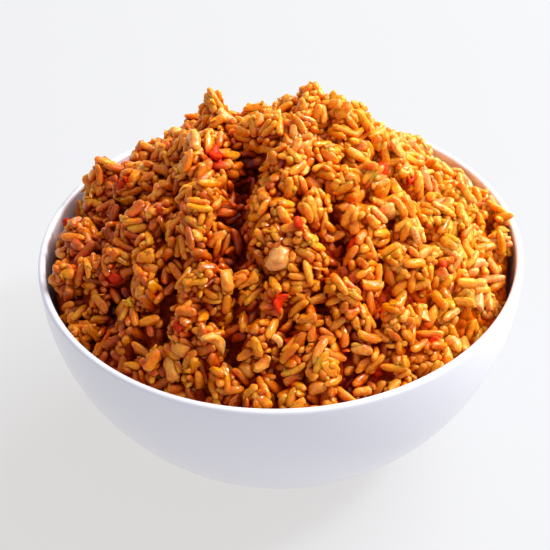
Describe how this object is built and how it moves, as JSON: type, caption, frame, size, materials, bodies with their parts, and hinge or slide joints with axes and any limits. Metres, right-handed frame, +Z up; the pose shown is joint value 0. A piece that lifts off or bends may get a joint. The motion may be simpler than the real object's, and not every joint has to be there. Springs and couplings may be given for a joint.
{
  "type": "bowl of mexican rice",
  "caption": "Round white bowl heaped high with loose orange-red rice and small bits of tomato, for serving or set dressing.",
  "frame": {"origin": "centre of the bowl's foot ring, on the surface that the bowl stands on", "axes": "+Z up; the side of the heap shown in the picture faces -Y, with +X to its right"},
  "size_m": [0.152, 0.152, 0.1211],
  "materials": {
    "bowl": "gloss",
    "rice": "satin"
  },
  "bodies": {
    "root": {"bowl": "bowl", "rice": "rice"}
  },
  "joints": []
}
